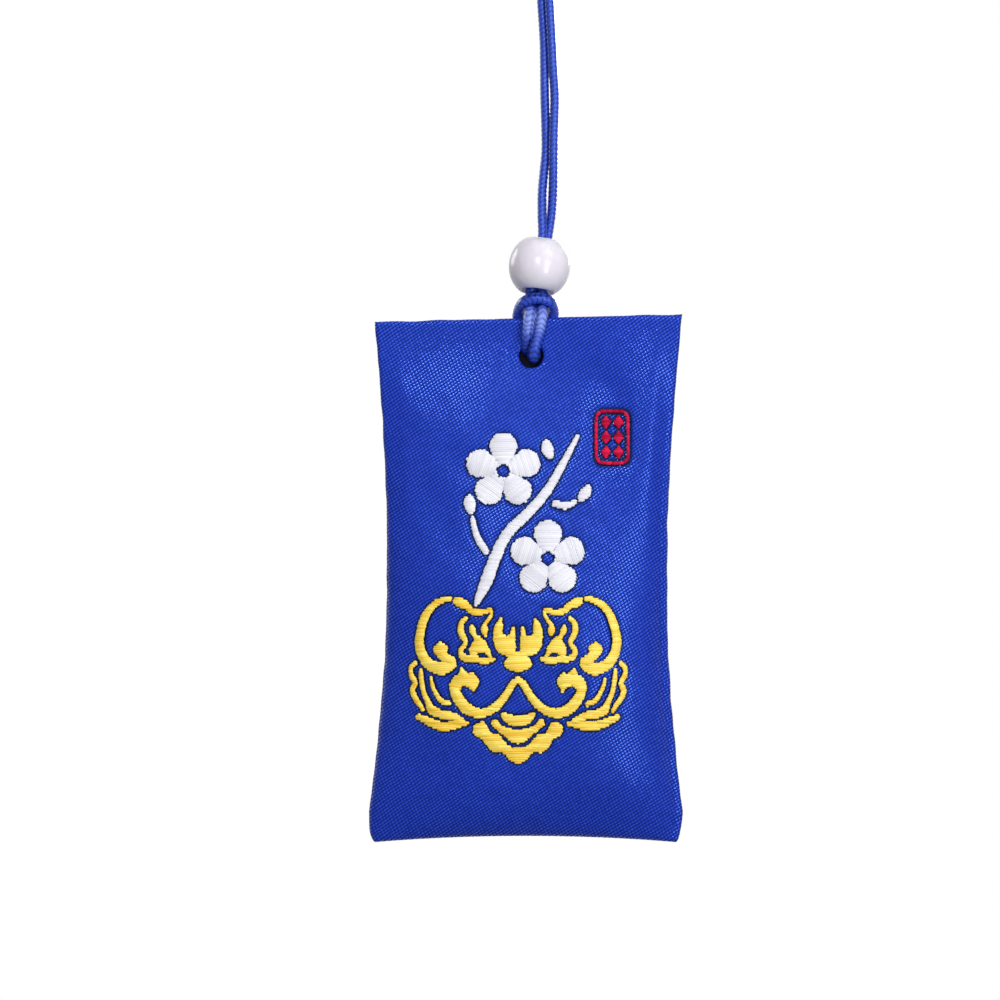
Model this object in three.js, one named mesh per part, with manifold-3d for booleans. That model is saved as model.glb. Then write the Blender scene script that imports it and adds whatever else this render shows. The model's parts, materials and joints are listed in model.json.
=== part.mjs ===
// Amulet pouch: a padded satin sachet hung from a doubled cord that runs through a ceramic bead.
// Millimetres, +Z up, the embroidered front faces -Y, origin where a hook bears in the cord's eye.
import * as THREE from "three";
import { mergeVertices } from "three/addons/utils/BufferGeometryUtils.js";
import ManifoldModule from "manifold-3d";

const manifoldTools = await ManifoldModule();
manifoldTools.setup();
const { Manifold, Mesh } = manifoldTools;

// Pouch outline, seen from the front; a drop is a distance below the top edge
const TOP_WIDTH = 40.2;
const WAIST_WIDTH = 36.7;
const FOOT_WIDTH = 41.0;
const POUCH_HEIGHT = 68.5;
const WAIST_START_DROP = 28;
const WAIST_END_DROP = 38;
const CORNER_HEIGHT = 4.0;
const FOOT_ARCH = 0.8;
const CORNER_INSET = 0.9;
const TOP_SLANT = 0.5;

// Pouch thickness
const CLOTH = 0.4;
const SEAM_GAP = 0.4;
const FRONT_CROWN = 4.3;
const BACK_CROWN = 4.0;
const BACK_FLAT_DEPTH = 3.4;
const PRESSED_DROP = 6;
const FULL_DROP = 40;
const ROUNDING_LENGTH = 22.5;

// Punched hole for the cord
const HOLE_DIAMETER = 3.2;
const HOLE_X = 0.55;
const HOLE_DROP = 4.95;

// Layers and pieces inside the pouch
const LAYER_GAP = 0.1;
const BOND_START_DROP = 1;
const BOND_END_DROP = 8.5;
const BOND_WIDTH_SHARE = 0.92;
const BACKING_THICKNESS = 0.2;
const BACKING_START_DROP = 11;
const BACKING_FOOT_MARGIN = 7.5;
const BACKING_WIDTH_SHARE = 0.8;
const WADDING_START_DROP = 24;
const WADDING_FOOT_MARGIN = 8.5;
const WADDING_WIDTH_SHARE = 0.72;
const WADDING_CLEARANCE = 0.3;
const WRAP_WIDTH = 25;
const WRAP_TOP_DROP = 21;
const WRAP_FOOT_MARGIN = 5.5;
const WRAP_DEPTH = 1.8;
const WRAP_WALL = 0.3;
const TABLET_CLEARANCE = 0.2;
const TABLET_END_MARGIN = 1;
const SEAM_THREAD_DIAMETER = 0.22;
const SEAM_THREAD_INSET = 0.7;
const SEAM_THREAD_START = 1;

// Embroidery stands on the front panel
const THREAD_RISE = 0.4;
const LOTUS_X = -1.2;
const LOTUS_FOOT_MARGIN = 21.8;
const FRAME_X = 11.1;
const FRAME_DROP = 15.6;
const FRAME_WIDTH = 4.6;
const FRAME_HEIGHT = 7.2;
const FRAME_BAND = 0.5;
const DIAMOND_GAP = 0.3;
const UPPER_BLOSSOM = { x: -3.1, drop: 20.0, radius: 4.9 };
const LOWER_BLOSSOM = { x: 2.7, drop: 31.4, radius: 4.9 };
const BLOSSOM_PETALS = 5;

// Cord and bead
const CORD_DIAMETER = 1.3;
const CORD_SIDES = 8;
const STRAND_GAP = 0.1;
const CORD_CLEARANCE = 0.2;
const HITCH_LEAN = 0.08;
const SWING_HEIGHT = 3.1;
const SWING_DEPTH = 0.36;
const SWING_GAP = 0.5;
const EYE_TOP = 66;
const EYE_X = 2.0;
const EYE_WIDTH = 8.8;
const EYE_LENGTH = 20.5;
const BEAD_DIAMETER = 8.0;
const BEAD_LENGTH = 7.1;
const BEAD_BORE = 3.6;
const BEAD_MOUTH = 4.5;
const BEAD_MOUTH_DEPTH = 1.1;
const BEAD_X = 1.62;
const BEAD_HEIGHT = 6.98;
const BEAD_LEAN = 0.042;
const BEAD_ROUNDNESS = 2.3;

// The whole depth of the pouch fits inside this reach either way
const CUT_REACH = 9;

// Materials
function surface(color, roughness) {
  return new THREE.MeshStandardMaterial({ color, roughness, metalness: 0 });
}
const SATIN = surface("#2a43b4", 0.42);
const CORD = surface("#34509f", 0.6);
const GOLD_THREAD = surface("#e8b91e", 0.4);
const WHITE_THREAD = surface("#f2f2f4", 0.45);
const RED_THREAD = surface("#c03048", 0.45);
const WADDING = surface("#f4f4f2", 0.95);
const CERAMIC = surface("#eeeaf0", 0.12);
const PAPER = surface("#efe8d8", 0.85);
const BOARD = surface("#c9a878", 0.8);
const FILM = surface("#d8d8d0", 0.5);

// The pouch hangs below the hook point
const part = new THREE.Group();
part.name = "amulet_pouch";
const HOOK = new THREE.Vector3(EYE_X, 0, EYE_TOP - CORD_DIAMETER / 2);

function add(name, geometry, material) {
  const placed = geometry.translate(-HOOK.x, -HOOK.y, -HOOK.z);
  const mesh = new THREE.Mesh(placed, material);
  mesh.name = name;
  part.add(mesh);
}

function toSolid(geometry) {
  const bare = new THREE.BufferGeometry();
  bare.setAttribute("position", geometry.getAttribute("position").clone());
  if (geometry.index) bare.setIndex(geometry.index.clone());
  const joined = mergeVertices(bare, 1e-4);
  const vertProperties = new Float32Array(joined.getAttribute("position").array);
  const triVerts = new Uint32Array(joined.index.array);
  return new Manifold(new Mesh({ numProp: 3, vertProperties, triVerts }));
}

function toGeometry(solid) {
  const mesh = solid.getMesh();
  const geometry = new THREE.BufferGeometry();
  geometry.setAttribute("position", new THREE.BufferAttribute(new Float32Array(mesh.vertProperties), 3));
  geometry.setIndex(new THREE.BufferAttribute(new Uint32Array(mesh.triVerts), 1));
  return geometry;
}

// A flat outline in front view, made solid along Y over the whole front or through the whole pouch
function prism(outline, nearY, farY) {
  const shape = new THREE.Shape(outline.map((p) => new THREE.Vector2(p[0], p[1])));
  const geometry = new THREE.ExtrudeGeometry(shape, { depth: farY - nearY, bevelEnabled: false });
  geometry.rotateX(Math.PI / 2);
  geometry.translate(0, farY, 0);
  return toSolid(geometry);
}

// Pouch surface
const footDrop = POUCH_HEIGHT - CORNER_HEIGHT;
const roundingDrop = POUCH_HEIGHT - ROUNDING_LENGTH;

function ease(t) {
  const s = Math.min(1, Math.max(0, t));
  return s * s * (3 - 2 * s);
}

function halfWidth(drop) {
  const waist = WAIST_WIDTH / 2;
  if (drop < WAIST_START_DROP) {
    return waist + (TOP_WIDTH / 2 - waist) * Math.pow(1 - Math.max(0, drop) / WAIST_START_DROP, 1.5);
  }
  if (drop < WAIST_END_DROP) return waist;
  if (drop < footDrop) {
    const run = (drop - WAIST_END_DROP) / (footDrop - WAIST_END_DROP);
    return waist + (FOOT_WIDTH / 2 - waist) * Math.pow(run, 1.6);
  }
  const turn = Math.min(1, (drop - footDrop) / CORNER_HEIGHT);
  return FOOT_WIDTH / 2 - CORNER_INSET * (1 - Math.sqrt(1 - turn * turn));
}

// Fullness is 0 at the seams and the pressed top and 1 where the padding is thickest
function fullness(across, drop) {
  const fromTop = ease((drop - PRESSED_DROP) / (FULL_DROP - PRESSED_DROP));
  const low = Math.max(0, (drop - roundingDrop) / ROUNDING_LENGTH);
  const toFoot = Math.sqrt(Math.max(0, 1 - Math.pow(Math.min(1, low), 2.4)));
  const toSide = Math.pow(Math.max(0, 1 - Math.pow(Math.abs(across), 2.2)), 0.6);
  return fromTop * toFoot * toSide;
}

function frontInner(across, drop) {
  return SEAM_GAP / 2 + FRONT_CROWN * fullness(across, drop);
}

function backInner(across, drop) {
  return Math.min(SEAM_GAP / 2 + BACK_CROWN * fullness(across, drop), BACK_FLAT_DEPTH - CLOTH);
}

function frontOuter(across, drop) {
  return frontInner(across, drop) + CLOTH;
}

// Height in front view of a place on the pouch; the foot arches up and the top edge slants a little
function heightAt(across, drop) {
  const slant = TOP_SLANT * across * (1 - drop / POUCH_HEIGHT);
  const arch = FOOT_ARCH * (1 - across * across) * Math.pow(drop / POUCH_HEIGHT, 6);
  return -drop + slant + arch;
}

// Rows lie closer together where the foot turns in, columns where the sides turn in
function rows(startDrop, endDrop, count) {
  return Array.from({ length: count + 1 }, (_, i) => {
    const t = i / count;
    return startDrop + (endDrop - startDrop) * (0.3 * t + 0.7 * Math.sin((t * Math.PI) / 2));
  });
}

function columns(widthShare, count) {
  return Array.from({ length: count + 1 }, (_, i) => {
    const t = (2 * i) / count - 1;
    return widthShare * (0.5 * t + 0.5 * Math.sin((t * Math.PI) / 2));
  });
}

// A closed layer between two surfaces given as depths along Y over the same grid
function layer(acrossList, dropList, nearDepth, farDepth) {
  const wide = acrossList.length;
  const high = dropList.length;
  const points = [];
  for (const depth of [nearDepth, farDepth]) {
    for (const drop of dropList) {
      for (const across of acrossList) {
        points.push(across * halfWidth(drop), depth(across, drop), heightAt(across, drop));
      }
    }
  }
  const faces = [];
  const far = wide * high;
  const quad = (a, b, c, d) => faces.push(a, b, c, a, c, d);
  for (let r = 0; r + 1 < high; r += 1) {
    for (let c = 0; c + 1 < wide; c += 1) {
      const a = r * wide + c;
      quad(a, a + wide, a + wide + 1, a + 1);
      quad(far + a, far + a + 1, far + a + wide + 1, far + a + wide);
    }
    const left = r * wide;
    const right = left + wide - 1;
    quad(left, far + left, far + left + wide, left + wide);
    quad(right, right + wide, far + right + wide, far + right);
  }
  for (let c = 0; c + 1 < wide; c += 1) {
    const top = c;
    const foot = (high - 1) * wide + c;
    quad(top, top + 1, far + top + 1, far + top);
    quad(foot, far + foot, far + foot + 1, foot + 1);
  }
  const geometry = new THREE.BufferGeometry();
  geometry.setAttribute("position", new THREE.Float32BufferAttribute(points, 3));
  geometry.setIndex(faces);
  return geometry;
}

const panelColumns = columns(1, 16);
const panelRows = rows(0, POUCH_HEIGHT, 22);

// Punch
const holeOutline = Array.from({ length: 20 }, (_, i) => {
  const turn = (i / 20) * Math.PI * 2;
  const radius = HOLE_DIAMETER / 2;
  return [HOLE_X + radius * Math.cos(turn), -HOLE_DROP + radius * Math.sin(turn)];
});
const punch = prism(holeOutline, -CUT_REACH, CUT_REACH);

function punched(geometry) {
  return toGeometry(toSolid(geometry).subtract(punch));
}

// Panels
const frontPanel = layer(
  panelColumns,
  panelRows,
  (a, d) => -frontOuter(a, d),
  (a, d) => -frontInner(a, d),
);
const backPanel = layer(
  panelColumns,
  panelRows,
  (a, d) => backInner(a, d),
  (a, d) => backInner(a, d) + CLOTH,
);
add("front_panel", punched(frontPanel), SATIN);
add("back_panel", punched(backPanel), SATIN);

// Bonding film that closes the pressed mouth
const bondHalf = SEAM_GAP / 2 - LAYER_GAP;
const mouthBond = layer(
  columns(BOND_WIDTH_SHARE, 6),
  rows(BOND_START_DROP, BOND_END_DROP, 3),
  () => -bondHalf,
  () => bondHalf,
);
add("mouth_bond", punched(mouthBond), FILM);

// Seam threads run round the edge between the two panels
function tube(points, diameter, sides, steps) {
  const curve = new THREE.CatmullRomCurve3(points, false, "centripetal");
  const ring = Array.from({ length: sides }, (_, i) => {
    const turn = (i / sides) * Math.PI * 2;
    return new THREE.Vector2((diameter / 2) * Math.cos(turn), (diameter / 2) * Math.sin(turn));
  });
  const shape = new THREE.Shape(ring);
  const geometry = new THREE.ExtrudeGeometry(shape, { steps, extrudePath: curve, bevelEnabled: false });
  return toGeometry(toSolid(geometry));
}

for (const [name, side] of [["left_seam_thread", -1], ["right_seam_thread", 1]]) {
  const route = rows(SEAM_THREAD_START, footDrop - SEAM_THREAD_START, 12).map((drop) => {
    const x = side * (halfWidth(drop) - SEAM_THREAD_INSET);
    return new THREE.Vector3(x, 0, heightAt(x / halfWidth(drop), drop));
  });
  add(name, tube(route, SEAM_THREAD_DIAMETER, 6, 14), SATIN);
}
const footRoute = columns(0.9, 10).map((across) => {
  const drop = POUCH_HEIGHT - SEAM_THREAD_INSET;
  return new THREE.Vector3(across * halfWidth(drop), 0, heightAt(across, drop));
});
add("foot_seam_thread", tube(footRoute, SEAM_THREAD_DIAMETER, 6, 16), SATIN);

// Nonwoven behind the embroidery, then wadding, then the tablet in its paper wrap
const backing = layer(
  columns(BACKING_WIDTH_SHARE, 10),
  rows(BACKING_START_DROP, POUCH_HEIGHT - BACKING_FOOT_MARGIN, 12),
  (a, d) => -frontInner(a, d) + LAYER_GAP,
  (a, d) => -frontInner(a, d) + LAYER_GAP + BACKING_THICKNESS,
);
add("embroidery_backing", backing, WADDING);

const waddingColumns = columns(WADDING_WIDTH_SHARE, 8);
const waddingRows = rows(WADDING_START_DROP, POUCH_HEIGHT - WADDING_FOOT_MARGIN, 10);
const waddingFace = WRAP_DEPTH / 2 + WADDING_CLEARANCE;
const backingDepth = LAYER_GAP + BACKING_THICKNESS;
const frontWadding = layer(
  waddingColumns,
  waddingRows,
  (a, d) => -Math.max(frontInner(a, d) - backingDepth - WADDING_CLEARANCE, waddingFace + LAYER_GAP),
  () => -waddingFace,
);
const backWadding = layer(
  waddingColumns,
  waddingRows,
  () => waddingFace,
  (a, d) => Math.max(backInner(a, d) - WADDING_CLEARANCE, waddingFace + LAYER_GAP),
);
add("front_wadding", frontWadding, WADDING);
add("back_wadding", backWadding, WADDING);

const wrapHeight = POUCH_HEIGHT - WRAP_TOP_DROP - WRAP_FOOT_MARGIN;
function box(width, depth, height) {
  return new THREE.BoxGeometry(width, depth, height).translate(0, 0, -WRAP_TOP_DROP - wrapHeight / 2);
}
const wrapInside = box(WRAP_WIDTH - 2 * WRAP_WALL, WRAP_DEPTH - 2 * WRAP_WALL, wrapHeight + 2);
const wrap = toSolid(box(WRAP_WIDTH, WRAP_DEPTH, wrapHeight)).subtract(toSolid(wrapInside));
add("paper_wrap", toGeometry(wrap), PAPER);
const tabletWidth = WRAP_WIDTH - 2 * WRAP_WALL - 2 * TABLET_CLEARANCE;
const tabletDepth = WRAP_DEPTH - 2 * WRAP_WALL - 2 * TABLET_CLEARANCE;
add("amulet_tablet", box(tabletWidth, tabletDepth, wrapHeight - 2 * TABLET_END_MARGIN), BOARD);

// Embroidered patches are cut from one raised layer that follows the front panel
const threadLayer = toSolid(
  layer(
    panelColumns,
    panelRows,
    (a, d) => -frontOuter(a, d) - LAYER_GAP - THREAD_RISE,
    (a, d) => -frontOuter(a, d) - LAYER_GAP,
  ),
);

function patch(name, outlines, material, opening) {
  let cutter = outlines.map((outline) => prism(outline, -CUT_REACH, 0)).reduce((a, b) => a.add(b));
  if (opening) cutter = cutter.subtract(prism(opening, -CUT_REACH - 1, 1));
  add(name, toGeometry(cutter.intersect(threadLayer)), material);
}

// A stroke is a row of points, each [x, height, width], with blunt rounded ends
function stroke(points, samples = points.length * 2) {
  const line = new THREE.CatmullRomCurve3(points.map((p) => new THREE.Vector3(...p)), false, "centripetal");
  const places = line.getSpacedPoints(samples);
  const wayAt = (i) => {
    const before = places[Math.max(0, i - 1)];
    const after = places[Math.min(samples, i + 1)];
    return new THREE.Vector2(after.x - before.x, after.y - before.y).normalize();
  };
  const edge = (i, along, aside) => {
    const way = wayAt(i);
    const half = places[i].z / 2;
    const x = places[i].x + half * (along * way.x - aside * way.y);
    return [x, places[i].y + half * (along * way.y + aside * way.x)];
  };
  const leftSide = places.map((_, i) => edge(i, 0, 1));
  const rightSide = places.map((_, i) => edge(i, 0, -1)).reverse();
  return [edge(0, -0.8, 0), ...leftSide, edge(samples, 0.8, 0), ...rightSide];
}

function moved(outline, x, drop) {
  return outline.map((p) => [x + p[0], p[1] - drop]);
}

function mirrored(outline) {
  return outline.map((p) => [-p[0], p[1]]);
}

// Lotus scroll: forms of the right half, joined from strokes and outlines, each point given as
// [distance from the axis, height over the middle peak] and the stroke's width
const lotusDrop = POUCH_HEIGHT - LOTUS_FOOT_MARGIN;
const scrollArm = stroke([
  [8.75, 10.1, 0.5], [9.75, 9.9, 0.6], [10.8, 9.35, 0.75], [11.7, 8.4, 0.9], [12.3, 7.2, 1.0],
  [12.7, 5.7, 1.05], [12.85, 4.5, 1.1], [12.65, 3.2, 1.15], [12.05, 2.05, 1.2], [11.1, 1.25, 1.35],
  [9.9, 0.95, 1.5], [8.95, 1.4, 1.4], [8.4, 1.85, 1.0],
]);
const scrollBud = stroke([
  [8.4, 2.05, 0.9], [9.3, 2.3, 1.0], [9.85, 2.9, 1.3], [10.05, 3.55, 1.85], [10.1, 4.0, 1.3],
]);
const ribbonArm = stroke([
  [8.1, 9.85, 0.9], [7.5, 9.55, 1.1], [6.75, 9.2, 0.85], [6.0, 8.5, 0.7], [5.1, 8.3, 0.6],
  [4.2, 8.45, 0.5], [3.65, 8.65, 0.5],
]);
const ribbonTail = stroke([
  [3.55, 8.65, 0.45], [3.45, 8.05, 0.4], [3.8, 7.4, 0.4], [4.3, 6.7, 0.5], [4.35, 6.05, 0.95],
  [4.25, 5.45, 0.5],
]);
const flameWave = stroke([
  [6.65, 7.55, 0.45], [7.25, 7.1, 0.55], [7.45, 6.3, 0.75], [7.3, 5.4, 0.75], [6.8, 4.6, 0.6],
  [6.95, 4.0, 0.55], [7.4, 3.45, 0.6], [7.35, 2.8, 0.7], [6.7, 2.3, 0.75], [5.6, 2.3, 0.65],
  [4.5, 2.0, 0.7], [3.6, 2.1, 0.6], [3.05, 2.3, 0.4],
]);
const flameLeaf = [
  [5.86, 6.59], [5.53, 6.19], [5.44, 5.36], [4.88, 5.06], [4.28, 4.53], [3.9, 3.78], [3.55, 2.9],
  [3.3, 2.3], [3.75, 2.3], [3.95, 2.7], [4.35, 3.1], [4.88, 3.2], [5.35, 2.95], [5.6, 2.3], [6.1, 2.3],
  [6.25, 3.0], [6.28, 3.7], [5.86, 4.3], [5.63, 4.76], [5.86, 5.2], [6.28, 5.74], [6.34, 6.34],
  [6.13, 6.6],
];
const leafOuter = stroke([
  [13.3, 1.75, 0.55], [13.95, 1.05, 0.55], [13.85, 0, 0.6], [13.35, -0.9, 0.6], [13.75, -1.8, 0.7],
  [13.4, -2.85, 0.65], [12.7, -3.85, 0.55], [12.3, -4.5, 0.4],
]);
const leafMiddle = stroke([
  [12.65, 0.75, 0.45], [12.6, -0.1, 0.6], [12.45, -1.2, 0.55], [12.2, -2.3, 0.6], [11.7, -3.35, 0.65],
  [11.25, -4.35, 1.05], [10.2, -4.9, 1.0], [9.0, -5.05, 0.9], [8.0, -5.45, 0.8], [7.2, -5.85, 0.5],
]);
const leafLow = stroke([
  [13.05, -5.25, 0.6], [12.1, -5.65, 0.85], [11.05, -6.15, 1.0], [9.7, -6.55, 1.05], [8.4, -6.4, 0.95],
  [7.3, -6.15, 0.75], [6.5, -6.1, 0.35],
]);
const leafInner = stroke([
  [11.3, -0.3, 0.35], [11.2, -1.0, 0.45], [10.75, -2.1, 0.5], [10.0, -3.2, 0.55], [8.9, -3.6, 0.45],
]);
const sideForms = {
  scroll: [scrollArm, scrollBud],
  ribbon: [ribbonArm, ribbonTail],
  flame: [flameWave, flameLeaf],
  leaf_outer: [leafOuter],
  leaf_middle: [leafMiddle, leafLow],
  leaf_inner: [leafInner],
};
function lotusPatch(name, outlines) {
  patch(name, outlines.map((outline) => moved(outline, LOTUS_X, lotusDrop)), GOLD_THREAD);
}
for (const [name, outlines] of Object.entries(sideForms)) {
  lotusPatch(`lotus_${name}_left`, outlines.map(mirrored));
  lotusPatch(`lotus_${name}_right`, outlines);
}

// Forms that cross the axis are given to the middle and mirrored
function acrossAxis(half) {
  const other = half.slice(0, -1).map((p) => [-p[0], p[1], p[2]]).reverse();
  return stroke([...half, ...other], half.length * 4);
}
function bothSides(half) {
  return [...half, ...mirrored(half).reverse()];
}
const hookLine = acrossAxis([
  [7.3, -0.3, 1.3], [8.0, -0.8, 1.4], [8.3, -1.65, 1.2], [7.65, -3.1, 1.3], [6.45, -4.35, 1.25],
  [4.85, -4.85, 1.05], [3.1, -4.1, 1.0], [1.75, -2.7, 0.9], [0.75, -1.1, 0.8], [0, -0.35, 0.75],
]);
const hookHead = [
  [8.1, -0.7], [7.38, 1.1], [6.4, 0.25], [5.85, 0.5], [5.25, -0.3], [5.1, -0.9], [5.75, -2.0], [6.45, -1.4],
  [7.1, -1.1], [7.6, -1.6],
];
lotusPatch("lotus_hooks", [hookLine, hookHead, mirrored(hookHead)]);
lotusPatch("lotus_crescent_upper", [acrossAxis([[2.05, -4.85, 0.55], [1.35, -5.45, 1.0], [0, -5.8, 1.4]])]);
lotusPatch("lotus_crescent_lower", [
  acrossAxis([[3.1, -5.95, 0.95], [2.4, -6.7, 0.7], [1.4, -7.3, 1.0], [0, -7.85, 1.75]]),
]);
const baseHalf = [
  [0.35, -11.2], [0.8, -11.05], [1.28, -10.6], [1.58, -10.1], [2.1, -9.76], [2.93, -9.9], [3.6, -9.58],
  [4.2, -8.68], [4.58, -8.08], [5.26, -7.85], [5.75, -7.25], [5.75, -6.45], [5.26, -6.05], [4.4, -6.0],
  [3.95, -6.8], [3.68, -7.45], [2.6, -7.65], [1.88, -8.38], [1.35, -9.05], [0.5, -9.38],
];
lotusPatch("lotus_base", [bothSides(baseHalf)]);

// Lotus crown: half outline from the foot round the tall prong to the slit
const crownHalf = [
  [0.3, 0.7], [0.9, 0.8], [1.55, 1.2], [1.78, 1.68], [1.5, 2.2], [1.15, 2.65], [1.9, 2.8], [2.6, 3.3],
  [3.05, 4.1], [3.2, 5.2], [3.1, 6.2], [2.8, 7.0], [2.15, 7.55], [1.98, 6.6], [2.05, 5.5], [1.55, 5.15],
  [1.05, 5.3], [0.85, 6.2], [0.7, 6.4], [0.38, 6.4], [0.38, 3.05],
];
lotusPatch("lotus_crown", [bothSides(crownHalf)]);

// Plum sprig in white: two blossoms, a branch, twigs and buds
function blossom(radius) {
  return Array.from({ length: BLOSSOM_PETALS * 12 }, (_, i) => {
    const turn = (i / (BLOSSOM_PETALS * 12)) * Math.PI * 2;
    const lobe = Math.abs(Math.cos((turn * BLOSSOM_PETALS) / 2));
    const reach = radius * (0.42 + 0.58 * Math.pow(lobe, 0.45));
    return [reach * Math.sin(turn), reach * Math.cos(turn)];
  });
}
function ringOutline(radius) {
  return Array.from({ length: 14 }, (_, i) => {
    const turn = (i / 14) * Math.PI * 2;
    return [radius * Math.cos(turn), radius * Math.sin(turn)];
  });
}
for (const [name, place] of [["upper_blossom", UPPER_BLOSSOM], ["lower_blossom", LOWER_BLOSSOM]]) {
  const eye = moved(ringOutline(place.radius * 0.2), place.x, place.drop);
  patch(name, [moved(blossom(place.radius), place.x, place.drop)], WHITE_THREAD, eye);
}
const sprigStrokes = {
  branch: [
    [-6.6, -37.2, 0.7], [-5.4, -34.6, 1.5], [-4.2, -31.4, 1.4], [-2.6, -28.2, 1.3], [0.2, -25.4, 1.2],
    [2.6, -22.6, 1.1], [4.6, -19.2, 0.9], [6.6, -15.4, 0.5],
  ],
  twig_left: [[-5.3, -30.6, 0.8], [-6.6, -28.4, 0.8], [-7.1, -26.2, 0.6]],
  twig_right: [[3.5, -24.2, 0.8], [5.0, -24.6, 0.8], [6.3, -24.0, 0.5]],
  bud_left: [[-7.3, -25.3, 0.9], [-7.5, -24.2, 1.5], [-7.5, -23.4, 0.9]],
  bud_right: [[6.9, -23.6, 0.8], [7.6, -22.9, 1.4], [8.0, -22.1, 0.8]],
  bud_top: [[3.1, -18.2, 0.8], [2.6, -17.1, 1.5], [2.5, -16.2, 0.9]],
};
for (const [name, points] of Object.entries(sprigStrokes)) {
  patch(`sprig_${name}`, [stroke(points)], WHITE_THREAD);
}

// Red frame with small diamonds in rows
function frameOutline(width, height, corner) {
  const turns = [[1, 1, 0], [-1, 1, 1], [-1, -1, 2], [1, -1, 3]];
  return turns.flatMap(([sx, sz, quarter]) =>
    [0, 0.5, 1].map((t) => {
      const turn = ((quarter + t) * Math.PI) / 2;
      const x = sx * (width / 2 - corner) + corner * Math.cos(turn);
      return [x, sz * (height / 2 - corner) + corner * Math.sin(turn)];
    }),
  );
}
const openWidth = FRAME_WIDTH - 2 * FRAME_BAND;
const openHeight = FRAME_HEIGHT - 2 * FRAME_BAND;
const frameOuter = moved(frameOutline(FRAME_WIDTH, FRAME_HEIGHT, 0.9), FRAME_X, FRAME_DROP);
const frameHole = moved(frameOutline(openWidth, openHeight, 0.5), FRAME_X, FRAME_DROP);
patch("red_frame", [frameOuter], RED_THREAD, frameHole);
const diamondColumns = ["left", "right"];
const diamondRows = ["upper", "middle", "lower"];
const columnStep = (openWidth - DIAMOND_GAP) / diamondColumns.length;
const rowStep = (openHeight - DIAMOND_GAP) / diamondRows.length;
const diamondSide = [[0, 1], [0.62, 0.38], [1, 0], [0.62, -0.38], [0, -1]];
const diamond = [...diamondSide, ...mirrored(diamondSide).slice(1, -1).reverse()].map((p) => [
  (p[0] * (columnStep - DIAMOND_GAP)) / 2,
  (p[1] * (rowStep - DIAMOND_GAP)) / 2,
]);
diamondRows.forEach((row, r) => {
  diamondColumns.forEach((column, c) => {
    const x = FRAME_X + (c - (diamondColumns.length - 1) / 2) * columnStep;
    const drop = FRAME_DROP + (r - (diamondRows.length - 1) / 2) * rowStep;
    patch(`red_diamond_${row}_${column}`, [moved(diamond, x, drop)], RED_THREAD);
  });
});

// Hitch: half of the cord's way round, [distance from its own axis, Y, Z] from the swing to the bight
const strandOffset = (CORD_DIAMETER + STRAND_GAP) / 2;
const lieDepth = SEAM_GAP / 2 + CLOTH + CORD_DIAMETER / 2 + CORD_CLEARANCE;
const hitchHalf = [
  [strandOffset, SWING_DEPTH, SWING_HEIGHT - SWING_GAP / 2],
  [strandOffset, SWING_DEPTH, 2.3],
  [strandOffset, 0.05, 1.45],
  [strandOffset, -0.75, 0.95],
  [strandOffset, -lieDepth, 0.1],
  [strandOffset, -lieDepth, -1.8],
  [strandOffset, -lieDepth, -3.7],
  [strandOffset, -1.0, -4.7],
  [strandOffset, 0, -5.05],
  [strandOffset, 1.0, -4.7],
  [0.95, lieDepth, -3.6],
  [1.7, lieDepth, -1.5],
  [2.3, lieDepth, 0],
  [2.42, 1.05, 0.95],
  [2.25, 0.2, 1.65],
  [1.8, -0.6, 2.0],
  [0.85, -1.0, 2.33],
  [0, -1.08, 2.42],
];
function hitchPoint([away, y, z], side) {
  return new THREE.Vector3(HOLE_X + HITCH_LEAN * (z + HOLE_DROP) + side * away, y, z);
}
const hitchRoute = [
  ...hitchHalf.map((p) => hitchPoint(p, -1)),
  ...hitchHalf.slice(0, -1).reverse().map((p) => hitchPoint(p, 1)),
];
add("hitch", tube(hitchRoute, CORD_DIAMETER, CORD_SIDES, 64), CORD);

// Hanging loop: the strand pair upwards, [middle X, middle Y, Z, degrees that the pair is turned]
const swingX = HOLE_X + HITCH_LEAN * (SWING_HEIGHT + HOLE_DROP);
const pairRoute = [
  [swingX, SWING_DEPTH, SWING_HEIGHT + SWING_GAP / 2, 0],
  [1.42, 0.25, 5.0, 16],
  [1.75, 0.1, 7.5, 34],
  [2.05, 0, 10.7, 44],
  [2.35, 0, 15.4, 40],
  [2.6, 0, 20.7, 42],
  [2.75, 0, 27.2, 44],
  [2.7, 0, 33.7, 42],
  [2.4, 0, 41.6, 42],
];
// Eye: [share of its length below the top, share of its half width]
const eyeRoute = [[1, 0.14], [0.75, 0.43], [0.49, 0.89], [0.27, 1], [0.09, 0.64]];
function loopSide(side) {
  const straight = pairRoute.map(([x, y, z, degrees]) => {
    const turn = THREE.MathUtils.degToRad(degrees);
    const reach = side * strandOffset;
    return new THREE.Vector3(x + reach * Math.cos(turn), y - reach * Math.sin(turn), z);
  });
  const opened = eyeRoute.map(([low, wide]) => {
    const x = EYE_X + 0.25 * low + (side * wide * EYE_WIDTH) / 2;
    const y = -side * 0.45 * Math.max(0, 2 * low - 1);
    return new THREE.Vector3(x, y, EYE_TOP - low * EYE_LENGTH);
  });
  return [...straight, ...opened];
}
const loopRoute = [...loopSide(-1), new THREE.Vector3(EYE_X, 0, EYE_TOP), ...loopSide(1).reverse()];
add("hang_cord", tube(loopRoute, CORD_DIAMETER, CORD_SIDES, 72), CORD);

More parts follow.
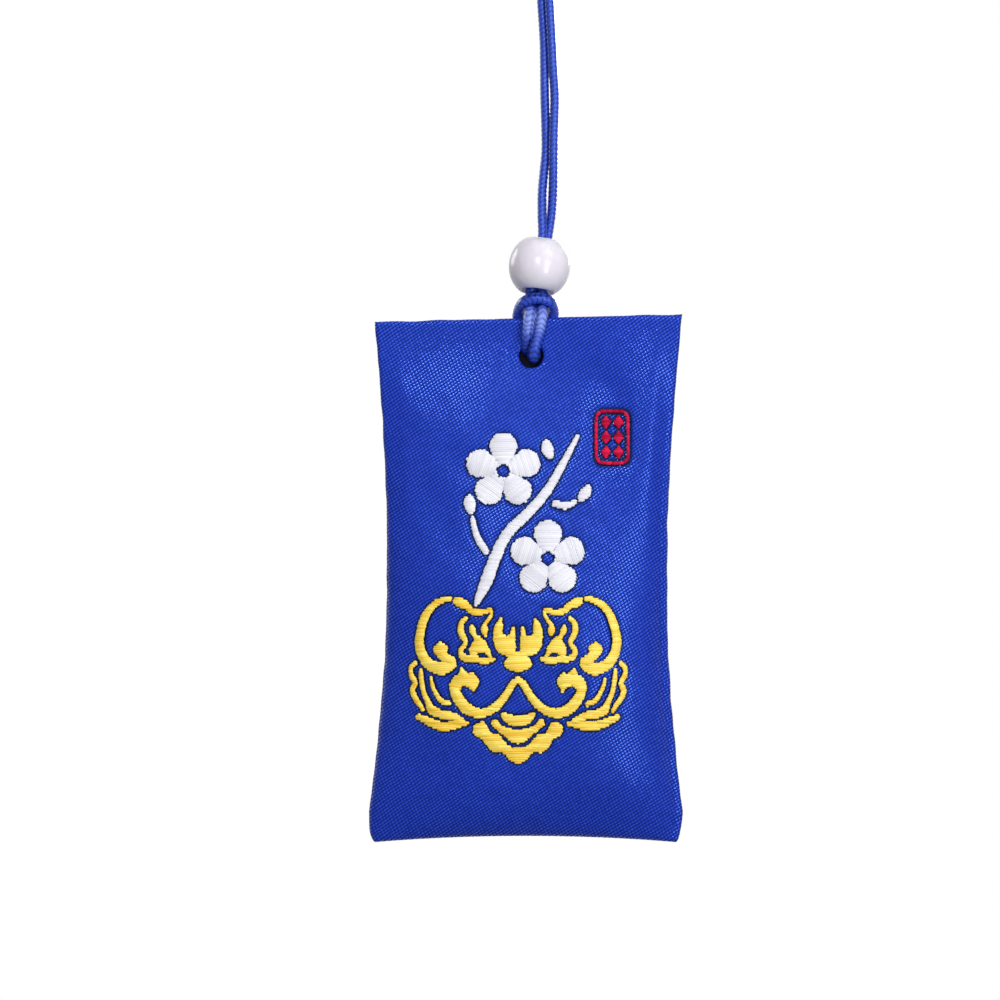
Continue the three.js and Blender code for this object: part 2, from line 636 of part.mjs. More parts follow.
// Bead, turned about its own axis and leaned along the cord
const beadHalf = BEAD_LENGTH / 2;
function rounded(share) {
  return Math.pow(1 - Math.pow(share, BEAD_ROUNDNESS), 1 / BEAD_ROUNDNESS);
}
const beadReach = beadHalf / rounded(BEAD_MOUTH / BEAD_DIAMETER);
const shoulder = Array.from({ length: 13 }, (_, i) => {
  const z = beadHalf * Math.sin(((i - 6) / 6) * (Math.PI / 2));
  return new THREE.Vector2((BEAD_DIAMETER / 2) * rounded(Math.abs(z) / beadReach), z);
});
const beadProfile = [
  ...shoulder,
  new THREE.Vector2(BEAD_BORE / 2 + 0.15, beadHalf - 0.05),
  new THREE.Vector2(BEAD_BORE / 2, beadHalf - 0.3),
  new THREE.Vector2(BEAD_BORE / 2, BEAD_MOUTH_DEPTH - beadHalf),
  new THREE.Vector2(BEAD_MOUTH / 2 - 0.12, 0.1 - beadHalf),
  shoulder[0].clone(),
];
const bead = new THREE.LatheGeometry(beadProfile, 28);
bead.rotateX(Math.PI / 2);
bead.rotateY(Math.atan(BEAD_LEAN));
bead.translate(BEAD_X, 0, BEAD_HEIGHT);
add("bead", toGeometry(toSolid(bead)), CERAMIC);

export default part;
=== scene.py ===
# Amulet pouch: a padded satin sachet that hangs from a doubled braided cord with a glazed bead.
import json
import math
import random

import bmesh
import bpy
from mathutils import Matrix, Quaternion, Vector, noise
from mathutils.bvhtree import BVHTree
from mathutils.geometry import interpolate_bezier
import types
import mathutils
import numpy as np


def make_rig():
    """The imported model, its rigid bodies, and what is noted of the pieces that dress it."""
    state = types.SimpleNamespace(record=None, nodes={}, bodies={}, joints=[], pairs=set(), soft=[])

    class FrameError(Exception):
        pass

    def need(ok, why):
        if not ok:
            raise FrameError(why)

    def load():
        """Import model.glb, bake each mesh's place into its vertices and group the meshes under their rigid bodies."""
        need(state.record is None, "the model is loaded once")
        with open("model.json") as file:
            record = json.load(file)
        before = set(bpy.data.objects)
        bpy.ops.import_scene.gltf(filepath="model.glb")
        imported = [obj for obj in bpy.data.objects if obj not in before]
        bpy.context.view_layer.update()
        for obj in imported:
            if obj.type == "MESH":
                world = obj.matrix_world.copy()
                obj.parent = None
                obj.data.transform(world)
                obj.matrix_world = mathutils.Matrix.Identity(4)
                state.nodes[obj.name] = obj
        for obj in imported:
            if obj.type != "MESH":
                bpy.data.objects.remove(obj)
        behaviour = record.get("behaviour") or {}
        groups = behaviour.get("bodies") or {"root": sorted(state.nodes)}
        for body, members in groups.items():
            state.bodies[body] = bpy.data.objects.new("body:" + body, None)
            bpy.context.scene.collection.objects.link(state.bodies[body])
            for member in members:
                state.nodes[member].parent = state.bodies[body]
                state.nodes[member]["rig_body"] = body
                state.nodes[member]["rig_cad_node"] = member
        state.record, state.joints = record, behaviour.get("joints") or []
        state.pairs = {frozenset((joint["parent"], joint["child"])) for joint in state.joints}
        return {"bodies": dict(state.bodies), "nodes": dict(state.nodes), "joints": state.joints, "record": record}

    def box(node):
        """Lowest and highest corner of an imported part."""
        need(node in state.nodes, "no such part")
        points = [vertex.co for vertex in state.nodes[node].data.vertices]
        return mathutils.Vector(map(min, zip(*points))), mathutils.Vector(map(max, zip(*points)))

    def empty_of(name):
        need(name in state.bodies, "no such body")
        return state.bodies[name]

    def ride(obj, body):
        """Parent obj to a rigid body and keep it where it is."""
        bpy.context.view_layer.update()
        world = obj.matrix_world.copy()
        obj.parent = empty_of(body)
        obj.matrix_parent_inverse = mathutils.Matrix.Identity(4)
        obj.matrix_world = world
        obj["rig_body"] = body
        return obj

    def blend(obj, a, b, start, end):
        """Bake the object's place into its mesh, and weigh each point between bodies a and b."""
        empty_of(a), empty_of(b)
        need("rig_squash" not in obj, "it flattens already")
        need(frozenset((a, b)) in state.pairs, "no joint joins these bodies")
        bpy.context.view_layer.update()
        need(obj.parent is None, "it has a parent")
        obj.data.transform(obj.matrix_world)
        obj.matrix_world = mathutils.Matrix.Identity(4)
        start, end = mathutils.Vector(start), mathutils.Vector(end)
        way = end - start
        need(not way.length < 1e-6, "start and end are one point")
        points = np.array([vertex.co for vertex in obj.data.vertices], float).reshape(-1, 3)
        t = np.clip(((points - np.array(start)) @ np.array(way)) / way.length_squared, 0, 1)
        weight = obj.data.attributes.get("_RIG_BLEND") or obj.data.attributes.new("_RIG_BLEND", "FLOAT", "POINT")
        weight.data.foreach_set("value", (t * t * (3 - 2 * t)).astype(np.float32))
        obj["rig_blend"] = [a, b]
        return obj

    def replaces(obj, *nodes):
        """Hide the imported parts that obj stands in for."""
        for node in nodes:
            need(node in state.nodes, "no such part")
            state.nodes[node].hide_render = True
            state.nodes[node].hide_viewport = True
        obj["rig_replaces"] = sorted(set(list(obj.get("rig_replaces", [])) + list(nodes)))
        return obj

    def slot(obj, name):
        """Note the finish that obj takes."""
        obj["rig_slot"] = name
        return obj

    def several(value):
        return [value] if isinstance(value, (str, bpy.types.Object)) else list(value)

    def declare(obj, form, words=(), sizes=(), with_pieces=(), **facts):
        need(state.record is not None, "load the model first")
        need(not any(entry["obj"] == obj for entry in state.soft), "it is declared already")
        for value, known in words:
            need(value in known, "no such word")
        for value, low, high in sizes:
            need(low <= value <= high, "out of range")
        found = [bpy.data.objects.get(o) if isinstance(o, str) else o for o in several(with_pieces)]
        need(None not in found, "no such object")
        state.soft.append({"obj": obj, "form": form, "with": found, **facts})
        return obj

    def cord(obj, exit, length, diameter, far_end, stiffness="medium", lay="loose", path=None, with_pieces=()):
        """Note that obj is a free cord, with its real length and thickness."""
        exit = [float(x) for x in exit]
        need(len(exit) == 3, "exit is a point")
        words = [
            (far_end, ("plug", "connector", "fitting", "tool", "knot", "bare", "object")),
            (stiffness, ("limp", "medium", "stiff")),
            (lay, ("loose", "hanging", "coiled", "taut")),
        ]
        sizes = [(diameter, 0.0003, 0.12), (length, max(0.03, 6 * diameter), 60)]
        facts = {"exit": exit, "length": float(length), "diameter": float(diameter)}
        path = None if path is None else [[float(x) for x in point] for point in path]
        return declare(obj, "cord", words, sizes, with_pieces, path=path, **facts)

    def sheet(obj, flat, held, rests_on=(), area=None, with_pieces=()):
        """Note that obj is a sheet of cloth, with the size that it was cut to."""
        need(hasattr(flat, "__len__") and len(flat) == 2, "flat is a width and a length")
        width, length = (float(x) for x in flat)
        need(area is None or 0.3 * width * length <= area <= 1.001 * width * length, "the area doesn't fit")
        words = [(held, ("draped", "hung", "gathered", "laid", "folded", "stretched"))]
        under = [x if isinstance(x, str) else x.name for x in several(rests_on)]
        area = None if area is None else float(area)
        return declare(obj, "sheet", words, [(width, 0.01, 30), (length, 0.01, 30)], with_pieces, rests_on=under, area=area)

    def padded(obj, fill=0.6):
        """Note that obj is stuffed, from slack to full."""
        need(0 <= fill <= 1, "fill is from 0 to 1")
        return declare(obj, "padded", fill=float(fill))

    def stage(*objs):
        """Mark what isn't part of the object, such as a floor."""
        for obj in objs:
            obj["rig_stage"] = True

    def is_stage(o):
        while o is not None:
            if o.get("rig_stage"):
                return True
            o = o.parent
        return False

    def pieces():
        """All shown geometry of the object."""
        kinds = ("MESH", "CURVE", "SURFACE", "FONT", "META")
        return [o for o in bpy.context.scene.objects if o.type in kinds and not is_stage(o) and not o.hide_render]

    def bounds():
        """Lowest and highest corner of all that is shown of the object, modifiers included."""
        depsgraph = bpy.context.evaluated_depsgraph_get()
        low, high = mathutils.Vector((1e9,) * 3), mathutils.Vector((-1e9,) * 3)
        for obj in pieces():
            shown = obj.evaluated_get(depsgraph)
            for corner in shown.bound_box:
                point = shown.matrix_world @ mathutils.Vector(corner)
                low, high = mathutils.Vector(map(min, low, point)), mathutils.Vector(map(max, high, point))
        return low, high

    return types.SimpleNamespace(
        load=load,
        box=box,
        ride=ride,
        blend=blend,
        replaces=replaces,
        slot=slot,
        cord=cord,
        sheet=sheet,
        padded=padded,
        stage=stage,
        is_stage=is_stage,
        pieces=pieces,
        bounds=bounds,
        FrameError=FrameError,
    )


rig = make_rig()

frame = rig.load()
cad_low, cad_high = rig.bounds()
nodes = frame["nodes"]
scene = bpy.context.scene
scene.view_settings.view_transform = "Standard"
hand = random.Random(11)

# Sizes are in millimetres from the middle of the pouch's top edge; the hook bears at HOOK
MM = 0.001
HOOK = Vector((2.0, 0.0, 65.35))


def at(x, y, z):
    return (Vector((x, y, z)) - HOOK) * MM


def ease(t):
    t = min(1, max(0, t))
    return t * t * (3 - 2 * t)


# Camera: straight at the front, 130.7 mm wide at the pouch
VIEW_WIDTH = 130.7
VIEW_CENTRE = (-3.53, -23.79)
CAMERA_DISTANCE = 850
SENSOR_WIDTH = 36
camera = bpy.data.objects.new("camera", bpy.data.cameras.new("camera"))
camera.data.sensor_width = SENSOR_WIDTH
camera.data.lens = SENSOR_WIDTH * CAMERA_DISTANCE / VIEW_WIDTH
camera.location = at(VIEW_CENTRE[0], -CAMERA_DISTANCE, VIEW_CENTRE[1])
camera.rotation_euler = (math.radians(90), 0, 0)
scene.collection.objects.link(camera)
scene.camera = camera


# Colours and the nodes that surfaces are made of
def colour(code):
    channels = [int(code[i:i + 2], 16) / 255 for i in (1, 3, 5)]
    return [c / 12.92 if c <= 0.04045 else ((c + 0.055) / 1.055) ** 2.4 for c in channels] + [1.0]


def add_node(tree, kind, sockets=None, **settings):
    made = tree.nodes.new("ShaderNode" + kind)
    for name, value in settings.items():
        setattr(made, name, value)
    for socket, value in (sockets or {}).items():
        if isinstance(value, bpy.types.NodeSocket):
            tree.links.new(value, made.inputs[socket])
        else:
            made.inputs[socket].default_value = value
    return made


def add_math(tree, operation, *values):
    return add_node(tree, "Math", dict(enumerate(values)), operation=operation).outputs[0]


def add_mix(tree, amount, low, high, blend="MIX"):
    return add_node(tree, "MixRGB", {0: amount, 1: low, 2: high}, blend_type=blend).outputs[0]


def add_range(tree, value, low, high, start=0.0, end=1.0):
    sockets = {"Value": value, "From Min": start, "From Max": end, "To Min": low, "To Max": high}
    return add_node(tree, "MapRange", sockets).outputs[0]


def add_attribute(tree, name):
    return add_node(tree, "Attribute", attribute_name=name).outputs["Fac"]


def object_place(tree):
    return add_node(tree, "TexCoord").outputs["Object"]


def add_cloud(tree, place, size, detail):
    return add_node(tree, "TexNoise", {"Vector": place, "Scale": 1 / (size * MM), "Detail": detail})


def add_bump(tree, shader, height, strength, relief):
    bump = add_node(tree, "Bump", {"Height": height, "Strength": strength, "Distance": relief * MM})
    tree.links.new(bump.outputs["Normal"], shader.inputs["Normal"])


def new_finish(name, **constants):
    made = bpy.data.materials.new(name)
    made.use_nodes = True
    shader = made.node_tree.nodes["Principled BSDF"]
    for socket, value in constants.items():
        shader.inputs[socket.replace("_", " ")].default_value = value
    return made, made.node_tree, shader


# Polyester satin: rows of short floats, glossy on their backs and dull where they dive under, with painted shade
# in the dives and a lighter painted tone on the backs; the floats wander a little and stand more or less proud
FLOAT_SLANT = 34
FLOAT_LENGTH, FLOAT_PITCH, FLOAT_STEP = 0.434, 0.4, -0.195
FLOAT_END = 0.25
FLOAT_RELIEF = 0.012
FLOAT_PROUD = (0.78, 1.24)
FLOAT_WANDER, WANDER_SIZE = 0.28, 3.0
DIVE_ROUGHNESS, BACK_ROUGHNESS, BACK_HEIGHT = 0.95, 0.2, 0.6
# The dark and light satin colours paint shade in the dives and a lighter tone on the float backs
SATIN_DARK, SATIN_LIGHT, SATIN_SHEEN = "#04126e", "#2a4ad8", "#6894ff"
# Colour of the painted shade round the stitches and along the side edges
PAINTED_SHADE_COLOUR = "#02051c"
CLOUD_SIZE, CLOUD_TONE = 9, (0.88, 1.12)


def make_satin():
    made, tree, shader = new_finish("polyester_satin", Specular_IOR_Level=1.0,
                                    Specular_Tint=colour(SATIN_SHEEN))
    flat = add_node(tree, "UVMap", uv_map="flat").outputs["UV"]
    wander = add_cloud(tree, flat, WANDER_SIZE, detail=1).outputs["Color"]
    turned = add_node(
        tree, "Mapping",
        {"Vector": add_mix(tree, FLOAT_WANDER * MM, flat, wander, "ADD"),
         "Rotation": (0, 0, math.radians(FLOAT_SLANT)), "Scale": (FLOAT_LENGTH * MM, FLOAT_PITCH * MM, 1)},
        vector_type="TEXTURE")
    split = add_node(tree, "SeparateXYZ", {"Vector": turned.outputs["Vector"]})
    row = add_math(tree, "FLOOR", split.outputs["Y"])
    stepped = add_math(tree, "MULTIPLY_ADD", row, FLOAT_STEP, split.outputs["X"])
    backs = []
    for position, least in ((split.outputs["Y"], 0.0), (stepped, FLOAT_END)):
        wave = add_math(tree, "SINE", add_math(tree, "MULTIPLY", position, math.pi))
        backs.append(add_range(tree, add_math(tree, "MULTIPLY", wave, wave), least, 1.0))
    even = add_math(tree, "MULTIPLY", *backs)
    place = add_node(tree, "CombineXYZ", {"X": add_math(tree, "FLOOR", stepped), "Y": row})
    chance = add_node(tree, "TexWhiteNoise", {"Vector": place.outputs[0]}, noise_dimensions="2D")
    weave = add_math(tree, "MULTIPLY", even, add_range(tree, chance.outputs["Value"], *FLOAT_PROUD))
    # Painted shade in the dives and a lighter painted tone on the float backs
    threads = add_mix(tree, weave, colour(SATIN_DARK), colour(SATIN_LIGHT))
    tone = add_range(tree, add_cloud(tree, flat, CLOUD_SIZE, detail=2).outputs["Fac"], *CLOUD_TONE)
    toned = add_mix(tree, 1.0, threads, tone, "MULTIPLY")
    # Painted shade round the stitches and along the side edges, from the panel's attribute
    with_painted_shade = add_mix(tree, add_attribute(tree, "painted_shade"), toned, colour(PAINTED_SHADE_COLOUR))
    tree.links.new(with_painted_shade, shader.inputs["Base Color"])
    gloss = add_range(tree, weave, DIVE_ROUGHNESS, BACK_ROUGHNESS, end=BACK_HEIGHT)
    tree.links.new(gloss, shader.inputs["Roughness"])
    add_bump(tree, shader, weave, strength=1.0, relief=FLOAT_RELIEF)
    return made


# Braided polyester cord: round yarns that cross, with a lighter painted tone on their crowns and painted shade where
# they dive, and a painted highlight where the strands bend over the pouch's edge
# The yarn tones paint shade where the yarns dive and a lighter tone on their crowns
YARN_TONES = ((0.2, "#030a40"), (0.8, "#2e4abc"))
# The second colour is the painted highlight on the front strands
YARN_SHEEN, YARN_PAINTED_SHEEN = "#a2b6f8", "#a4b8ff"
YARN_FIBRE, YARN_FIBRE_TONE, YARN_FIBRE_RELIEF = 0.12, (0.75, 1.3), 0.05


def make_braid():
    made, tree, shader = new_finish("braided_polyester_cord", Roughness=0.3, Specular_IOR_Level=0.6,
                                    Specular_Tint=colour(YARN_SHEEN))
    # Painted shade in the dives and a lighter painted tone on the crowns, by yarn height
    yarn = add_node(tree, "ValToRGB", {"Fac": add_attribute(tree, "crown")})
    for stop, (place, code) in zip(yarn.color_ramp.elements, YARN_TONES):
        stop.position = place
        stop.color = colour(code)
    fibre = add_cloud(tree, object_place(tree), YARN_FIBRE, detail=1).outputs["Fac"]
    tone = add_range(tree, fibre, *YARN_FIBRE_TONE)
    toned = add_mix(tree, 1.0, yarn.outputs[0], tone, "MULTIPLY")
    # Painted highlight on the front strands where they bend over the pouch's edge
    with_painted_sheen = add_mix(tree, add_attribute(tree, "painted_sheen"), toned, colour(YARN_PAINTED_SHEEN))
    tree.links.new(with_painted_sheen, shader.inputs["Base Color"])
    add_bump(tree, shader, fibre, strength=0.25, relief=YARN_FIBRE_RELIEF)
    return made


# Embroidery thread: two-ply trilobal yarn, silky, with fine ridges along each stitch
THREAD_GRAIN, THREAD_RELIEF = (1.2, 0.3, 0.09), 0.05


def make_thread(name, low, high, shine, roughness):
    made, tree, shader = new_finish(name, Roughness=roughness, Specular_IOR_Level=0.4,
                                    Specular_Tint=colour(shine))
    hue = add_mix(tree, add_attribute(tree, "tone"), colour(low), colour(high))
    tree.links.new(hue, shader.inputs["Base Color"])
    ridged = add_node(tree, "Mapping", {"Vector": object_place(tree),
                                        "Scale": [1 / (size * MM) for size in THREAD_GRAIN]})
    fibre = add_node(tree, "TexNoise", {"Vector": ridged.outputs["Vector"], "Scale": 1, "Detail": 1})
    add_bump(tree, shader, fibre.outputs["Fac"], strength=0.5, relief=THREAD_RELIEF)
    return made


# Glazed porcelain: milky body under a smooth clear glaze
MILK_LOW, MILK_HIGH, MILK_DEPTH = "#dbd5e3", "#e4deea", 4
GLAZE_CLOUD, GLAZE_RELIEF = 3.0, 0.2


def make_glaze():
    made, tree, shader = new_finish(
        "glazed_porcelain", Roughness=0.21, Specular_IOR_Level=0.4,
        Subsurface_Weight=0.8, Subsurface_Radius=(1, 0.9, 1), Subsurface_Scale=MILK_DEPTH * MM)
    cloud = add_cloud(tree, object_place(tree), GLAZE_CLOUD, detail=2).outputs["Fac"]
    milk = add_mix(tree, cloud, colour(MILK_LOW), colour(MILK_HIGH))
    tree.links.new(milk, shader.inputs["Base Color"])
    add_bump(tree, shader, cloud, strength=0.06, relief=GLAZE_RELIEF)
    return made


# Hidden layers: each is a mottled fibre or board with its own grain size in millimetres
LAYER_RELIEF = 0.1


def make_layer(name, low, high, grain, roughness):
    made, tree, shader = new_finish(name, Roughness=roughness, Specular_IOR_Level=0.2)
    fibre = add_cloud(tree, object_place(tree), grain, detail=4).outputs["Fac"]
    hue = add_mix(tree, fibre, colour(low), colour(high))
    tree.links.new(hue, shader.inputs["Base Color"])
    add_bump(tree, shader, fibre, strength=0.4, relief=LAYER_RELIEF)
    return made


satin = make_satin()
braid = make_braid()
gold_thread = make_thread("gold_rayon_thread", "#eeb81e", "#fdea72", "#fff6c8", 0.38)
white_thread = make_thread("white_rayon_thread", "#d2d2de", "#e9e9f0", "#e9e9f0", 0.42)
red_thread = make_thread("red_rayon_thread", "#8a0830", "#e0244e", "#e0244e", 0.42)
glaze = make_glaze()
seam_thread = make_layer("spun_polyester_thread", "#1b2f96", "#2f49b8", 0.1, 0.6)
nonwoven = make_layer("nonwoven_backing", "#e4e4e0", "#f6f6f4", 0.4, 0.9)
# The wrong side is near-black: painted shade for the inside of the hole
painted_shade_reverse = make_layer("satin_reverse_painted_shade", "#010312", "#02051c", 0.4, 0.9)
fill = make_layer("polyester_wadding", "#ececea", "#fafaf8", 0.8, 0.95)
paper = make_layer("uncoated_paper", "#e6dcc6", "#f2ebdc", 0.5, 0.85)
board = make_layer("grey_board", "#b89468", "#d0b080", 0.7, 0.85)
# The bonding layer is near-black: painted shade where the hole shows it
painted_shade_film = make_layer("bonding_film_painted_shade", "#02041c", "#040828", 1.0, 0.7)


def show_mesh(mesh, name, material):
    for face in mesh.polygons:
        face.use_smooth = True
    mesh.materials.clear()
    mesh.materials.append(material)
    piece = bpy.data.objects.new(name, mesh)
    scene.collection.objects.link(piece)
    return piece


def finish_piece(bm, name, material):
    mesh = bpy.data.meshes.new(name)
    bm.to_mesh(mesh)
    bm.free()
    return show_mesh(mesh, name, material)


# Cord: one endless loop, from its fused joint in the bead down through the hitch and up round the eye
CORD_DIAMETER = 1.3
CORD_STEP = 0.11
CORD_SIDES = 28
CURVE_STEPS = 40
HOLE = Vector((0.55, 0, -4.95))
JOINT_INDEX = 2
# Half of the hitch: distance from its middle line, y, z and how far the two strands cross there
HITCH_LEAN = 0.11
HITCH_SIDE = [
    (0.73, 0.36, 2.85, 0), (0.7, 0.36, 2.3, 0), (0.68, 0.05, 1.45, 0), (0.72, -0.75, 0.95, 0),
    (0.8, -1.5, 0.1, 0), (0.77, -1.5, -1.8, 0.12), (0.68, -1.5, -3.7, 0.34), (0.62, -1.0, -4.7, 0.4),
    (0.62, 0, -5.0, 0.25), (0.7, 0.9, -4.45, 0.1), (0.95, 1.45, -3.4, 0), (1.7, 1.45, -1.5, 0),
    (2.25, 1.45, 0, 0), (2.22, 1.05, 0.95, 0), (1.98, 0.2, 1.65, 0), (1.6, -0.6, 2.1, 0),
    (0.8, -1.0, 2.45, 0),
]
HITCH_CROWN = (0, -1.08, 2.55, 0)
CROSS_FORWARD, CROSS_DOWN, CROSS_UP = 0.8, 0.4, 4.2
# The two straight strands: x, y and z of their middle and how far the pair has turned, in degrees
STRAND_REACH = 0.7
STRAND_PAIR = [
    (1.194, 0.36, 3.35, 0), (1.46, 0.25, 5.0, -20), (1.93, 0.1, 7.5, -45), (2.37, 0, 10.5, -58),
    (2.57, 0, 13.5, -30), (2.69, 0, 16.5, 0), (2.83, 0, 19.0, 28), (2.97, 0, 22.0, 46), (2.99, 0, 25.4, 38),
    (2.98, 0, 29.0, 22), (2.85, 0, 32.6, 37), (2.73, 0, 36.2, 45), (2.42, 0, 41.6, 42),
]
# Half of the hanging eye: share of its length below the top and share of its reach aside
EYE_TOP, EYE_X, EYE_REACH, EYE_LENGTH = 66.0, 2.0, 4.4, 20.5
EYE_SIDE = [(1, 0.14), (0.75, 0.43), (0.49, 0.89), (0.27, 1), (0.09, 0.64)]
EYE_DRIFT, EYE_PARTING = 0.25, 0.45
# The slack cord of the hitch is thicker than the taut strands
HITCH_TOP, SLACK_GIRTH, TAUT_GIRTH, GIRTH_FADE = 3.0, 1.22, 0.94, 2.0
# Braid: chevrons of round yarns
CHEVRONS, CHEVRON_RISE, CHEVRON_VALLEY, VALLEY_WIDTH = 3, 0.66, 0.45, 0.35
YARN_LENGTH, YARN_RELIEF, YARN_ROUNDNESS = 0.6, 0.08, 0.6
# Painted highlight at the front of the hitch: its middle height, reach, front, fade and strength
PAINTED_SHEEN_MIDDLE, PAINTED_SHEEN_REACH, PAINTED_SHEEN_FRONT, PAINTED_SHEEN_FADE, PAINTED_SHEEN_MOST = -0.4, 2.6, -0.6, 0.6, 0.6


def hitch_point(away, y, z, cross, side):
    x = HOLE.x + HITCH_LEAN * (z - HOLE.z) + side * away
    if side > 0:
        return at(x - cross, y - cross * CROSS_FORWARD, z - cross * CROSS_DOWN)
    return at(x, y, z + cross * CROSS_UP)


def strand_point(x, y, z, turn, side):
    swing = math.radians(turn)
    return at(x + side * STRAND_REACH * math.cos(swing), y - side * STRAND_REACH * math.sin(swing), z)


def eye_point(low, wide, side):
    return at(EYE_X + EYE_DRIFT * low + side * wide * EYE_REACH, -side * EYE_PARTING * max(0, 2 * low - 1),
              EYE_TOP - low * EYE_LENGTH)


def smooth_path(points, step):
    dense = []
    for i, (a, b) in enumerate(zip(points, points[1:])):
        before, after = points[max(i - 1, 0)], points[min(i + 2, len(points) - 1)]
        reach = (b - a).length / 3
        leave, arrive = (b - before).normalized() * reach, (after - a).normalized() * reach
        dense += interpolate_bezier(a, a + leave, b - arrive, b, CURVE_STEPS)[:-1]
    dense.append(points[-1])
    walked = [0.0]
    for a, b in zip(dense, dense[1:]):
        walked.append(walked[-1] + (b - a).length)
    count = round(walked[-1] / step)
    even, k = [], 0
    for i in range(count + 1):
        goal = walked[-1] * i / count
        while k < len(dense) - 2 and walked[k + 1] < goal:
            k += 1
        share = (goal - walked[k]) / (walked[k + 1] - walked[k])
        even.append(dense[k].lerp(dense[k + 1], share))
    return even, walked[-1]


def yarn_height(turn, distance):
    aside = abs(2 * (turn * CHEVRONS % 1) - 1)
    yarn = abs(math.sin(math.pi * (distance / YARN_LENGTH + CHEVRON_RISE * aside)))
    return yarn ** YARN_ROUNDNESS * (CHEVRON_VALLEY + (1 - CHEVRON_VALLEY) * ease(aside / VALLEY_WIDTH))


right_strand = [strand_point(*p, 1) for p in STRAND_PAIR]
left_strand = [strand_point(*p, -1) for p in STRAND_PAIR]
right_hitch = [hitch_point(*p, 1) for p in HITCH_SIDE]
left_hitch = [hitch_point(*p, -1) for p in HITCH_SIDE]
cord_points = (
    right_strand[JOINT_INDEX::-1] + right_hitch + [hitch_point(*HITCH_CROWN, 0)] + left_hitch[::-1]
    + left_strand + [eye_point(*p, -1) for p in EYE_SIDE] + [at(EYE_X, 0, EYE_TOP)]
    + [eye_point(*p, 1) for p in EYE_SIDE[::-1]] + right_strand[:JOINT_INDEX - 1:-1])
cord_path, cord_length = smooth_path(cord_points, CORD_STEP * MM)


def plain_tube():
    curve = bpy.data.curves.new("cord_line", "CURVE")
    curve.dimensions = "3D"
    curve.bevel_depth = (CORD_DIAMETER / 2 - YARN_RELIEF / 2) * MM
    curve.bevel_resolution = (CORD_SIDES - 4) // 2
    line = curve.splines.new("POLY")
    line.points.add(len(cord_path) - 1)
    for point, place in zip(line.points, cord_path):
        point.co = (*place, 1)
    holder = bpy.data.objects.new("cord_line", curve)
    scene.collection.objects.link(holder)
    bpy.context.view_layer.update()
    mesh = bpy.data.meshes.new_from_object(holder.evaluated_get(bpy.context.evaluated_depsgraph_get()))
    bpy.data.objects.remove(holder)
    mesh.name = "braided_cord"
    return mesh


def make_cord():
    mesh = plain_tube()
    crown = mesh.attributes.new("crown", "FLOAT", "POINT")
    painted_sheen = mesh.attributes.new("painted_sheen", "FLOAT", "POINT")
    tied = at(0, 0, HITCH_TOP).z
    bend = at(0, PAINTED_SHEEN_FRONT, PAINTED_SHEEN_MIDDLE)
    for vertex in mesh.vertices:
        ring, side = divmod(vertex.index, CORD_SIDES)
        height = yarn_height(side / CORD_SIDES, ring * CORD_STEP)
        crown.data[vertex.index].value = height
        place = cord_path[ring]
        # Painted highlight: strongest on the yarn crowns of the front strands near the bend over the edge
        near = 1 - abs(place.z - bend.z) / (PAINTED_SHEEN_REACH * MM)
        front = (bend.y - place.y) / (PAINTED_SHEEN_FADE * MM)
        painted_sheen.data[vertex.index].value = PAINTED_SHEEN_MOST * ease(near) * ease(front) * height
        girth = SLACK_GIRTH + (TAUT_GIRTH - SLACK_GIRTH) * ease((place.z - tied) / (GIRTH_FADE * MM))
        away = vertex.co - place
        vertex.co = place + away * (girth + (height - 0.5) * YARN_RELIEF * MM / away.length)
    return show_mesh(mesh, "braided_cord", braid)


cord = make_cord()
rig.blend(cord, "hang_loop", "hitch", start=at(1.19, 0.36, 3.55), end=at(1.19, 0.36, 3.05))
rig.replaces(cord, "hang_cord", "hitch")
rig.slot(cord, "cord")
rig.cord(cord, exit=cord_path[0], length=cord_length, diameter=CORD_DIAMETER * MM, far_end="object",
        stiffness="limp", lay="hanging", path=cord_path)

# Bead: a lathe-turned profile with rounded mouths, leaned along the cord
BEAD_DIAMETER, BEAD_LENGTH, BEAD_BORE, BEAD_MOUTH = 8.0, 6.8, 4.0, 4.7
BEAD_CENTRE = (1.62, 0, 6.75)
BEAD_NOD = 10
BEAD_LEAN = 0.11
BEAD_ROUNDNESS = 2.08
BEAD_RINGS, BEAD_STEPS = 41, 72
# Wall of the bore near each mouth: how much wider than the bore, and how far in from the mouth
UPPER_FLARE = [(0.12, 0.06), (0, 0.3)]
LOWER_FLARE = [(0, 2.2), (0.16, 1.2), (0.25, 0.1)]


